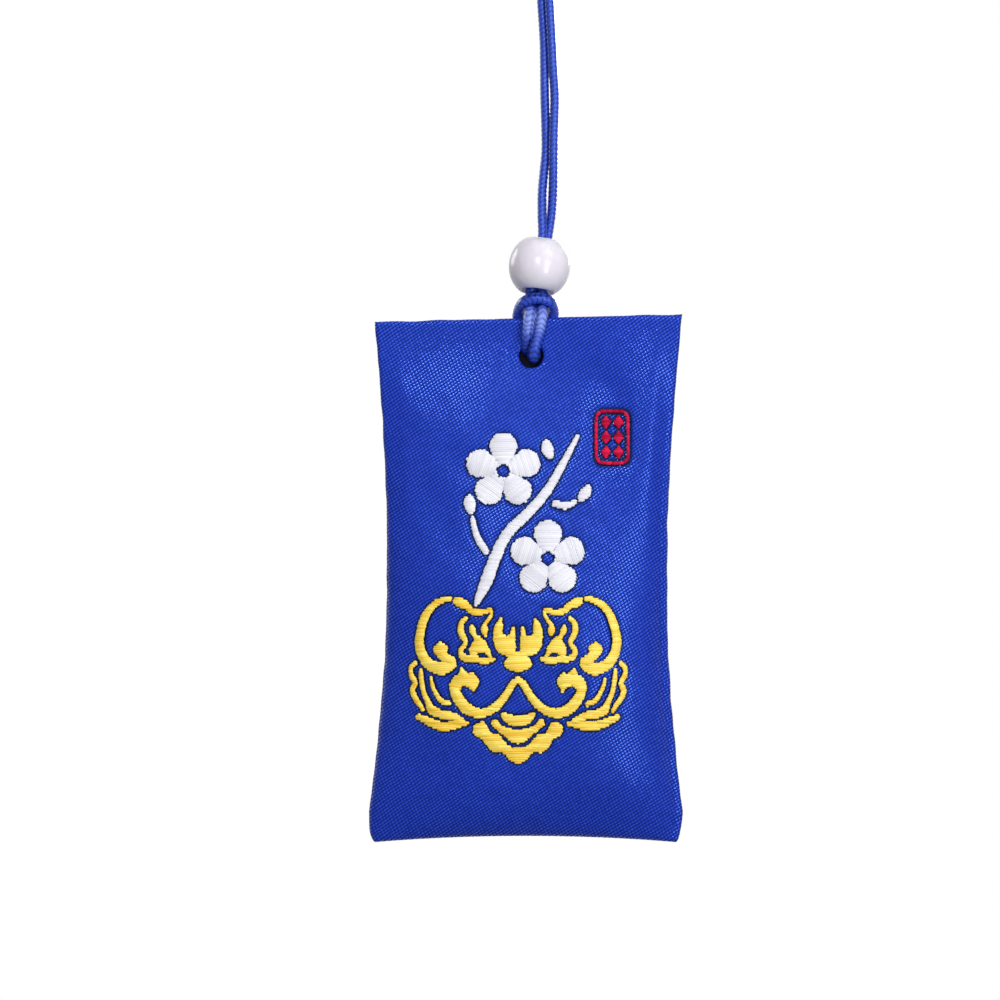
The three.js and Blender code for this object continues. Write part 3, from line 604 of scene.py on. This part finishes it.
def make_bead():
    def rounded(share):
        return (1 - share ** BEAD_ROUNDNESS) ** (1 / BEAD_ROUNDNESS)

    half, bore = BEAD_LENGTH / 2, BEAD_BORE / 2
    reach = half / rounded(BEAD_MOUTH / BEAD_DIAMETER)
    heights = [half * math.sin((2 * i / (BEAD_RINGS - 1) - 1) * math.pi / 2) for i in range(BEAD_RINGS)]
    profile = [(BEAD_DIAMETER / 2 * rounded(abs(z) / reach), z) for z in heights]
    profile += [(bore + wider, half - inset) for wider, inset in UPPER_FLARE]
    profile += [(bore + wider, inset - half) for wider, inset in LOWER_FLARE]
    bm = bmesh.new()
    ring = [bm.verts.new((r, 0, z)) for r, z in profile]
    edges = [bm.edges.new(pair) for pair in zip(ring, ring[1:] + ring[:1])]
    bmesh.ops.spin(bm, geom=ring + edges, cent=(0, 0, 0), axis=(0, 0, 1), angle=2 * math.pi,
                   steps=BEAD_STEPS, use_merge=True)
    bmesh.ops.remove_doubles(bm, verts=bm.verts[:], dist=1e-4)
    bmesh.ops.recalc_face_normals(bm, faces=bm.faces[:])
    place = Matrix.Translation(at(*BEAD_CENTRE)) @ Matrix.Rotation(math.atan(BEAD_LEAN), 4, "Y")
    place = place @ Matrix.Rotation(-math.radians(BEAD_NOD), 4, "X")
    bm.transform(place @ Matrix.Scale(MM, 4))
    return finish_piece(bm, "glazed_bead", glaze)


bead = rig.ride(make_bead(), "bead")
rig.replaces(bead, "bead")
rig.slot(bead, "ceramic")

# Pouch outline: across runs from -1 to 1 between the side edges, drop is the distance below the top edge
TOP_HALF, WAIST_HALF, FOOT_HALF = 20.1, 18.35, 20.5
WAIST_TOP, WAIST_FOOT, FOOT_DROP, POUCH_HEIGHT = 28, 38, 64.5, 68.5
TOP_CURVE, FOOT_CURVE, CORNER_INSET = 1.5, 1.6, 0.9
TOP_SLOPE, FOOT_BOW, FOOT_BOW_SHARPNESS = 0.5, 0.8, 6
TOP_LEAN = 0.2
EDGE_WAVER, WAVER_SHARPNESS, WAVER_DROP = 0.11, 9, 4
SIDE_WAVES, SIDE_SEED, TOP_WAVES, TOP_SEED = 0.35, 4, 0.3, 7
# Stuffing: where it starts below the flat top, rises, closes toward the foot and rounds off to the sides
FRONT_CROWN, BACK_CROWN, BACK_FLAT, FLAT_SHARPNESS = 4.3, 4.0, 2.8, 4
FILL_START, FILL_RISE, CLOSING_START, CLOSING_CURVE = 6, 34, 46, 2.4
SIDE_CURVE, SIDE_ROUNDNESS = 2.2, 0.6
# Edges: rounded fold, flat rims beside the stuffing at left and right, and the raised welt
EDGE_DEPTH, EDGE_ROUND, SEAM_DEPTH = 0.6, 0.42, 0.04
FRONT_RIMS, BACK_RIMS, RIM_START, RIM_RISE = (0.15, 0.9), (0.8, 1.0), 4, 14
WELT_WIDTH, LEFT_WELT, RIGHT_WELT = 1.3, 0, 0.38
WELT_START, WELT_END, WELT_FADE = 12, 60, 14
# Soft swells and hollows of the stuffed front: x, drop, reach across, reach down, height
FRONT_SWELLS = [
    (-8, 13, 10, 9, 0.9), (-11, 28, 8, 7, -0.2), (9.5, 44.5, 9, 9, 0.9), (10, 31, 8, 4, -0.25),
    (16, 12, 4.5, 14, 0.8), (7, 8, 5.5, 5.5, -0.22), (-10, 51, 6, 8, 0.15), (14, 60, 7, 12, 0.7),
]
# Waves of the slack cloth: height, waves across, slant, waves down and seed; and where the cloth is held
CLOTH_WAVES = [(0.22, 0.11, 0, 0.06, 3.7), (0.12, 0.26, -0.1, 0.17, 9.1)]
HELD_TOP, HELD_SIDE, HELD_FOOT = 10, 1 / 6, 8


def half_width(drop):
    if drop < WAIST_TOP:
        return WAIST_HALF + (TOP_HALF - WAIST_HALF) * (1 - drop / WAIST_TOP) ** TOP_CURVE
    if drop < WAIST_FOOT:
        return WAIST_HALF
    if drop < FOOT_DROP:
        flare = (drop - WAIST_FOOT) / (FOOT_DROP - WAIST_FOOT)
        return WAIST_HALF + (FOOT_HALF - WAIST_HALF) * flare ** FOOT_CURVE
    turn = min(1, (drop - FOOT_DROP) / (POUCH_HEIGHT - FOOT_DROP))
    return FOOT_HALF - CORNER_INSET * (1 - math.sqrt(1 - turn * turn))


def fullness(across, drop):
    rise = ease((drop - FILL_START) / FILL_RISE)
    low = min(1, max(0, (drop - CLOSING_START) / (POUCH_HEIGHT - CLOSING_START)))
    closing = math.sqrt(1 - low ** CLOSING_CURVE)
    return rise * closing * (1 - min(1, abs(across)) ** SIDE_CURVE) ** SIDE_ROUNDNESS


def height_at(across, drop):
    share = drop / POUCH_HEIGHT
    bow = FOOT_BOW * (1 - across * across) * share ** FOOT_BOW_SHARPNESS
    return -drop + TOP_SLOPE * across * (1 - share) + bow


def edge_depth(distance):
    inside = min(1, distance / EDGE_ROUND)
    return SEAM_DEPTH + (EDGE_DEPTH - SEAM_DEPTH) * math.sqrt(max(0, 1 - (1 - inside) ** 2))


def panel_depth(across, drop, rim, crown, limit):
    half = half_width(drop)
    to_side = (1 - abs(across)) * half
    body = min(1, abs(across) * half / (half - rim * ease((drop - RIM_START) / RIM_RISE)))
    puff = crown * fullness(body, drop)
    if limit:
        levels = math.exp(-FLAT_SHARPNESS * puff) + math.exp(-FLAT_SHARPNESS * limit)
        puff = -math.log(levels) / FLAT_SHARPNESS
    edge = min(to_side, drop, POUCH_HEIGHT - drop)
    return edge_depth(edge) + puff


def slack(x, drop, facing):
    inside = 1 - abs(x) / half_width(drop)
    loose = ease(drop / HELD_TOP) * ease(inside / HELD_SIDE) * ease((POUCH_HEIGHT - drop) / HELD_FOOT)
    depth = 0
    for height, across, slant, down, seed in CLOTH_WAVES:
        depth += height * noise.noise(Vector((x * across + drop * slant, drop * down, seed * facing)))
    if facing < 0:
        for middle, low, wide, tall, height in FRONT_SWELLS:
            depth += height * math.exp(-((x - middle) / wide) ** 2 - ((drop - low) / tall) ** 2)
    return loose * depth


def panel_point(across, drop, facing, crown, limit, rims):
    rim = rims[0] if across < 0 else rims[1]
    x, z = across * half_width(drop), height_at(across, drop)
    depth = panel_depth(across, drop, rim, crown, limit) + slack(x, drop, facing)
    to_side = (1 - abs(across)) * half_width(drop)
    welt = max(0, 1 - to_side / WELT_WIDTH) * ease(to_side / EDGE_ROUND)
    rise = RIGHT_WELT if across > 0 else LEFT_WELT
    depth += rise * welt * ease((drop - WELT_START) / WELT_FADE) * ease((WELT_END - drop) / WELT_FADE)
    side_wave = noise.noise(Vector((math.copysign(SIDE_SEED, across), drop * SIDE_WAVES, 0)))
    x += EDGE_WAVER * abs(across) ** WAVER_SHARPNESS * side_wave
    top_wave = noise.noise(Vector((x * TOP_WAVES, TOP_SEED, 0)))
    z += EDGE_WAVER * (1 - ease(drop / WAVER_DROP)) * top_wave
    return at(x + TOP_LEAN * (1 - 2 * drop / POUCH_HEIGHT), facing * depth, z)


# Panels: each is one sheet of cloth, finer near the stitches and drawn in round them, with painted shade round the
# stitches and along the side edges
PANEL_COLUMNS, PANEL_ROWS, EDGE_CROWDING = 120, 190, 1.45
CLOTH_THICKNESS = 0.2
FRONT_HOLE = (-4.95, 1.6)
BACK_HOLE = (-3.7, 1.15)
HOLE_LIP, HOLE_SEARCH, HOLE_ROUND = 0.1, 1, 0.08
FINE_REACH = 0.7
# Round the stitches the cloth is drawn in, and painted shade darkens it out to a line just beyond them: reach, shade
# line, shade fade and pull
NEEDLE_REACH, PAINTED_SHADE_LINE, PAINTED_SHADE_FADE, NEEDLE_PULL = 0.6, 0.42, 0.24, 0.14
# Painted shade along the side edges: its strength and width
SIDE_SHADE, SIDE_SHADE_WIDTH = 0.7, 0.22

patches = [name for name in nodes
           if name.startswith(("lotus_", "sprig_", "red_")) or name.endswith("_blossom")]


def joined_tree(names):
    corners, faces = [], []
    for name in names:
        mesh = nodes[name].data
        start = len(corners)
        corners += [v.co.copy() for v in mesh.vertices]
        faces += [[start + i for i in face.vertices] for face in mesh.polygons]
    return BVHTree.FromPolygons(corners, faces)


patch_tree = joined_tree(patches)


def spread(share):
    return math.copysign(1 - (1 - abs(share)) ** EDGE_CROWDING, share)


def unrolled(vertex):
    return spread(vertex.co.x), POUCH_HEIGHT * (1 - spread(vertex.co.y)) / 2


def draw_in_and_paint_shade(vertex, painted_shade, to_side):
    # Painted shade along the side edges, then round the stitches, where the cloth is also drawn in
    vertex[painted_shade] = SIDE_SHADE * ease(1 - to_side / SIDE_SHADE_WIDTH)
    place, _, _, away = patch_tree.find_nearest(vertex.co, NEEDLE_REACH * MM)
    if place:
        vertex[painted_shade] = ease((PAINTED_SHADE_LINE * MM - away) / (PAINTED_SHADE_FADE * MM))
        vertex.co.y += NEEDLE_PULL * MM * ease(1 - away / (NEEDLE_REACH * MM))


def make_panel(name, facing, crown, limit, rims, hole):
    shape = (facing, crown, limit, rims)
    bm = bmesh.new()
    bmesh.ops.create_grid(bm, x_segments=PANEL_COLUMNS, y_segments=PANEL_ROWS, size=1)
    if facing < 0:
        near = {v for v in bm.verts
                if patch_tree.find_nearest(panel_point(*unrolled(v), *shape), FINE_REACH * MM)[0]}
        fine = [e for e in bm.edges if near.issuperset(e.verts)]
        bmesh.ops.subdivide_edges(bm, edges=fine, cuts=1, use_grid_fill=True)
    flat = bm.loops.layers.uv.new("flat")
    # This attribute holds the painted shade
    painted_shade = bm.verts.layers.float.new("painted_shade")
    cut = {}
    for vertex in bm.verts:
        across, drop = unrolled(vertex)
        cut[vertex] = Vector((across * half_width(drop), -drop)) * MM
        vertex.co = panel_point(across, drop, *shape)
        if facing < 0:
            draw_in_and_paint_shade(vertex, painted_shade, (1 - abs(across)) * half_width(drop))
    for face in bm.faces:
        for loop in face.loops:
            loop[flat].uv = cut[loop.vert]
    punch_hole(bm, facing, *hole)
    if facing > 0:
        bmesh.ops.reverse_faces(bm, faces=bm.faces[:])
    piece = finish_piece(bm, name, satin)
    wall = piece.modifiers.new("cloth", "SOLIDIFY")
    wall.thickness = CLOTH_THICKNESS * MM
    wall.offset = -1
    # The inner faces take the near-black wrong side: painted shade where the hole shows them
    piece.data.materials.append(painted_shade_reverse)
    wall.material_offset = 1
    return piece


def punch_hole(bm, facing, height, radius):
    centre = at(HOLE.x, 0, height)

    def from_centre(place):
        return Vector((place.x - centre.x, 0, place.z - centre.z))

    inside = [f for f in bm.faces if from_centre(f.calc_center_median()).length < radius * MM]
    bmesh.ops.delete(bm, geom=inside, context="FACES")
    rim = [e for e in bm.edges if e.is_boundary
           and from_centre(e.verts[0].co).length < (radius + HOLE_SEARCH) * MM]
    for vertex in {v for e in rim for v in e.verts}:
        way = from_centre(vertex.co).normalized() * (radius + HOLE_LIP) * MM
        vertex.co.x, vertex.co.z = centre.x + way.x, centre.z + way.z
    for depth in (EDGE_DEPTH - HOLE_ROUND, SEAM_DEPTH):
        grown = bmesh.ops.extrude_edge_only(bm, edges=rim)["geom"]
        rim = [g for g in grown if isinstance(g, bmesh.types.BMEdge) and g.is_boundary]
        for vertex in {v for e in rim for v in e.verts}:
            way = from_centre(vertex.co).normalized() * radius * MM
            vertex.co = (centre.x + way.x, facing * depth * MM, centre.z + way.z)


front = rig.ride(make_panel("front_satin", -1, FRONT_CROWN, 0, FRONT_RIMS, FRONT_HOLE), "pouch")
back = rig.ride(make_panel("back_satin", 1, BACK_CROWN, BACK_FLAT, BACK_RIMS, BACK_HOLE), "pouch")
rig.replaces(front, "front_panel")
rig.replaces(back, "back_panel")
for panel in (front, back):
    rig.slot(panel, "satin")
    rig.sheet(panel, flat=(0.041, 0.0685), held="stretched", rests_on=["front_wadding", "back_wadding"])

# Embroidery: each patch is filled with rows of stitches that lie across it
ROW_PITCH, ROW_JITTER, ROW_SLANT = 0.25, 0.1, 4
STITCH_WIDTH, STITCH_RISE, WIDTH_JITTER = 0.46, 0.24, 0.08
STITCH_BOW, FULL_BOW_LENGTH = 0.12, 1.2
STITCH_SINK, LONGEST_STITCH, SPLIT_JITTER = 0.24, 7.0, 0.25
END_REACH, END_JITTER, FULL_JITTER_LENGTH = 0.04, 0.15, 2
END_TILT = (-0.03, 0.06)
PATCH_TONE, STITCH_TONE = (0.45, 0.65), (-0.4, 0.35)
SAMPLE = 0.05
RAY_START = -20
INWARD = Vector((0, 1, 0))


def on_cloth(hit):
    place = hit / MM + HOOK
    hit.y -= slack(place.x, -place.z, -1) * MM
    return hit


def patch_rows(name, slant, kept=None):
    low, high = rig.box(name)
    tree = joined_tree([name])
    middle, reach = (low + high) / 2, (high - low).length / 2
    along = Vector((math.cos(slant), 0, math.sin(slant)))
    up = Vector((-math.sin(slant), 0, math.cos(slant)))
    steps = math.ceil(2 * reach / (SAMPLE * MM)) + 2
    row = -reach
    while row < reach:
        run = []
        for i in range(steps):
            start = middle + up * row + along * (i * SAMPLE * MM - reach)
            start.y = RAY_START * MM
            hit = tree.ray_cast(start, INWARD)[0]
            if hit and (kept is None or kept(hit)):
                run.append(on_cloth(hit))
            elif run:
                yield run
                run = []
        row += ROW_PITCH * MM * hand.uniform(1 - ROW_JITTER, 1 + ROW_JITTER)


# A stitch is a ball drawn out at its equator
BALL_SIDES, BALL_RINGS, BALL_RADIUS, EQUATOR = 8, 6, 0.5, 0.01


def stitch_template():
    bm = bmesh.new()
    bmesh.ops.create_uvsphere(bm, u_segments=BALL_SIDES, v_segments=BALL_RINGS, radius=BALL_RADIUS)
    mesh = bpy.data.meshes.new("stitch")
    bm.to_mesh(mesh)
    bm.free()
    mesh.attributes.new("tone", "FLOAT", "POINT")
    return mesh


stitch = stitch_template()
stitch_shape = [v.co.copy() for v in stitch.vertices]


def add_stitch(bm, left, right, shade):
    span = right - left
    reach = max(0.0, span.length / (STITCH_WIDTH * MM) - 1) / 2
    along = span.normalized()
    side = along.cross(-INWARD).normalized()
    out = side.cross(along).normalized()
    wide = side * STITCH_WIDTH * hand.uniform(1 - WIDTH_JITTER, 1 + WIDTH_JITTER) * MM
    lift = out * STITCH_BOW * MM * min(1, span.length / (FULL_BOW_LENGTH * MM))
    middle = (left + right) / 2
    for vertex, shape in zip(stitch.vertices, stitch_shape):
        z = shape.z + (math.copysign(reach, shape.z) if abs(shape.z) > EQUATOR else 0)
        bow = 1 - min(1, abs(z) / (reach + BALL_RADIUS)) ** 2
        reached = along * z * STITCH_WIDTH * MM + out * shape.y * STITCH_RISE * MM
        vertex.co = middle + reached + wide * shape.x + lift * bow
    for value in stitch.attributes["tone"].data:
        value.value = shade
    bm.from_mesh(stitch)


# Blossoms are sewn petal by petal, across each petal's own axis
BLOSSOMS = {"upper_blossom": (-3.1, -20.0), "lower_blossom": (2.7, -31.4)}
PETALS = 5
PETAL_GAP = 0.05


def petal_rows(name):
    x, z = BLOSSOMS[name]
    centre = at(x, 0, z)
    for k in range(PETALS):
        turn = 2 * math.pi * k / PETALS
        axis = Vector((-math.sin(turn), 0, math.cos(turn)))
        aside = Vector((math.cos(turn), 0, math.sin(turn)))

        def in_petal(hit):
            away = hit - centre
            return abs(away.dot(aside)) < away.dot(axis) * math.tan(math.pi / PETALS) - PETAL_GAP * MM

        yield from patch_rows(name, turn, in_petal)


# The red frame is one line of running stitches
FRAME_MIDDLE, FRAME_REACH, FRAME_TURN = (11.1, -15.6), (2.05, 3.35), 0.65
RUNNING_STITCH = 0.8


def frame_runs(name):
    tree = joined_tree([name])
    points = []
    for quarter, (right, up) in enumerate(((1, 1), (-1, 1), (-1, -1), (1, -1))):
        for share in (0, 0.5, 1):
            turn = (quarter + share) * math.pi / 2
            x = FRAME_MIDDLE[0] + right * (FRAME_REACH[0] - FRAME_TURN) + FRAME_TURN * math.cos(turn)
            z = FRAME_MIDDLE[1] + up * (FRAME_REACH[1] - FRAME_TURN) + FRAME_TURN * math.sin(turn)
            points.append(at(x, RAY_START, z))
    line = smooth_path(points + points[:1], RUNNING_STITCH * MM)[0]
    line = [on_cloth(tree.ray_cast(p, INWARD)[0]) for p in line]
    yield from zip(line, line[1:])


def stitch_runs(name):
    if name in BLOSSOMS:
        return petal_rows(name)
    if name == "red_frame":
        return frame_runs(name)
    return patch_rows(name, math.radians(hand.uniform(-ROW_SLANT, ROW_SLANT)))


def make_stitches(name, material, slot, names):
    bm = bmesh.new()
    sunk = INWARD * STITCH_SINK * MM
    for patch in names:
        base = hand.uniform(*PATCH_TONE)
        for run in stitch_runs(patch):
            left, right = run[0] + sunk, run[-1] + sunk
            along = (right - left).normalized()
            ragged = END_JITTER * min(1, (right - left).length / (FULL_JITTER_LENGTH * MM))
            left -= along * (END_REACH + hand.uniform(0, 1) * ragged) * MM
            right += along * (END_REACH + hand.uniform(0, 1) * ragged) * MM
            left.z -= hand.uniform(*END_TILT) * MM
            right.z += hand.uniform(*END_TILT) * MM
            parts = max(1, math.ceil((right - left).length / (LONGEST_STITCH * MM)))
            shift = hand.uniform(-SPLIT_JITTER, SPLIT_JITTER) if parts > 1 else 0
            cuts = [0] + [(i + shift) / parts for i in range(1, parts)] + [1]
            for a, b in zip(cuts, cuts[1:]):
                add_stitch(bm, left.lerp(right, a), left.lerp(right, b), base + hand.uniform(*STITCH_TONE))
    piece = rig.ride(finish_piece(bm, name, material), "pouch")
    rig.replaces(piece, *names)
    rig.slot(piece, slot)


make_stitches("gold_embroidery", gold_thread, "gold_thread", [n for n in patches if n.startswith("lotus_")])
make_stitches("white_embroidery", white_thread, "white_thread",
              [n for n in patches if n.startswith("sprig_") or n.endswith("_blossom")])
make_stitches("red_embroidery", red_thread, "red_thread", [n for n in patches if n.startswith("red_")])

# Wadding: loose fibre that swells a little between the tablet and the cloth
WADDING_ROUNDS, WADDING_SMOOTHING = 3, 0.4
TUFT_SIZE, TUFT_HEIGHT = 1.5, 0.08


def make_wadding(name, node):
    bm = bmesh.new()
    bm.from_mesh(nodes[node].data)
    bmesh.ops.remove_doubles(bm, verts=bm.verts[:], dist=1e-6)
    bmesh.ops.subdivide_edges(bm, edges=bm.edges[:], cuts=1, use_grid_fill=True)
    for _ in range(WADDING_ROUNDS):
        bmesh.ops.smooth_vert(bm, verts=bm.verts[:], factor=WADDING_SMOOTHING, use_axis_x=True,
                              use_axis_y=True, use_axis_z=True)
    for vertex in bm.verts:
        vertex.co.y += TUFT_HEIGHT * MM * noise.noise(vertex.co / (TUFT_SIZE * MM))
    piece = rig.ride(finish_piece(bm, name, fill), "pouch")
    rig.replaces(piece, node)
    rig.slot(piece, "wadding")
    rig.padded(piece, fill=0.5)


make_wadding("front_fill", "front_wadding")
make_wadding("back_fill", "back_wadding")

# Inner pieces: bonding film, backing, wrapped tablet and seam threads
for name, material in (("mouth_bond", painted_shade_film), ("embroidery_backing", nonwoven), ("paper_wrap", paper),
                       ("amulet_tablet", board), ("left_seam_thread", seam_thread),
                       ("right_seam_thread", seam_thread), ("foot_seam_thread", seam_thread)):
    nodes[name].data.materials.clear()
    nodes[name].data.materials.append(material)


# Studio: pale floor below the pouch that fades into the white surroundings, and soft lights
def seen_rays(tree, *kinds):
    path = add_node(tree, "LightPath")
    seen = 0.0
    for kind in kinds:
        seen = add_math(tree, "MAXIMUM", seen, path.outputs[f"Is {kind} Ray"])
    return seen


FLOOR_DROP, FLOOR_RADIUS, FLOOR_SIDES = 120, 380, 96
FLOOR_LOW, FLOOR_HIGH, FLOOR_BOUNCE, FLOOR_GRAIN = "#f4f4f4", "#fafafa", "#6a6a6a", 4
FADE_START, FADE_END, LEAST_FADE = 76, 342, 0.4


def make_floor():
    middle = at(0, 0, -FLOOR_DROP)
    bm = bmesh.new()
    bmesh.ops.create_circle(bm, cap_ends=True, segments=FLOOR_SIDES, radius=FLOOR_RADIUS * MM)
    bmesh.ops.translate(bm, verts=bm.verts[:], vec=middle)
    made, tree, shader = new_finish("matt_white_floor", Roughness=0.9, Specular_IOR_Level=0.1)
    place = object_place(tree)
    seen = seen_rays(tree, "Camera", "Glossy")
    grain = add_cloud(tree, place, FLOOR_GRAIN, detail=2).outputs["Fac"]
    hue = add_mix(tree, grain, colour(FLOOR_LOW), colour(FLOOR_HIGH))
    tree.links.new(add_mix(tree, seen, colour(FLOOR_BOUNCE), hue), shader.inputs["Base Color"])
    away = add_node(tree, "VectorMath", {0: place, 1: middle}, operation="DISTANCE").outputs["Value"]
    clear = add_range(tree, away, LEAST_FADE, 1.0, FADE_START * MM, FADE_END * MM)
    gone = add_node(tree, "BsdfTransparent")
    faded = add_node(tree, "MixShader", {0: add_math(tree, "MULTIPLY", clear, seen),
                                         1: shader.outputs["BSDF"], 2: gone.outputs["BSDF"]})
    tree.links.new(faded.outputs[0], tree.nodes["Material Output"].inputs["Surface"])
    return finish_piece(bm, "floor", made)


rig.stage(make_floor())

# The surroundings look white but give the object little light of their own
AMBIENT = 0.03


def make_surroundings():
    made = bpy.data.worlds.new("studio")
    made.use_nodes = True
    tree = made.node_tree
    tree.nodes.clear()
    level = add_range(tree, seen_rays(tree, "Camera", "Glossy", "Transmission"), AMBIENT, 1.0)
    backdrop = add_node(tree, "Background", {"Color": (1, 1, 1, 1), "Strength": level})
    add_node(tree, "OutputWorld", {"Surface": backdrop.outputs[0]})
    return made


scene.world = make_surroundings()

# Lights: degrees to the right of the front and above level, distance, size and power
LIGHT_AIM = at(0, 0, -30)


def add_light(name, azimuth, elevation, distance, size, power, roll=0):
    lamp = bpy.data.lights.new(name, "AREA")
    lamp.size = size * MM
    lamp.energy = power
    holder = bpy.data.objects.new(name, lamp)
    turn, rise = math.radians(azimuth), math.radians(elevation)
    way = Vector((math.sin(turn) * math.cos(rise), -math.cos(turn) * math.cos(rise), math.sin(rise)))
    holder.location = LIGHT_AIM + way * distance * MM
    facing = way.to_track_quat("Z", "Y") @ Quaternion((0, 0, 1), math.radians(roll))
    holder.rotation_euler = facing.to_euler()
    scene.collection.objects.link(holder)


add_light("front_softbox", -6, 24, 750, 110, 2.2)
add_light("high_right_softbox", 46, 47, 700, 220, 1.0, roll=45)
add_light("right_softbox", 31, 13, 650, 140, 1.25)
add_light("low_right_softbox", 27, -8, 650, 170, 1.4)
add_light("left_softbox", -50, 8, 700, 300, 0.12)
add_light("back_softbox", 160, 15, 750, 240, 3.0)
add_light("back_left_softbox", -125, 20, 750, 300, 1.5)
add_light("overhead_softbox", 0, 85, 700, 400, 1.0)

visual_low, visual_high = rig.bounds()
with open("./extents.json", "w") as out:
    json.dump({"cad": [list(cad_low), list(cad_high)], "visual": [list(visual_low), list(visual_high)]}, out)
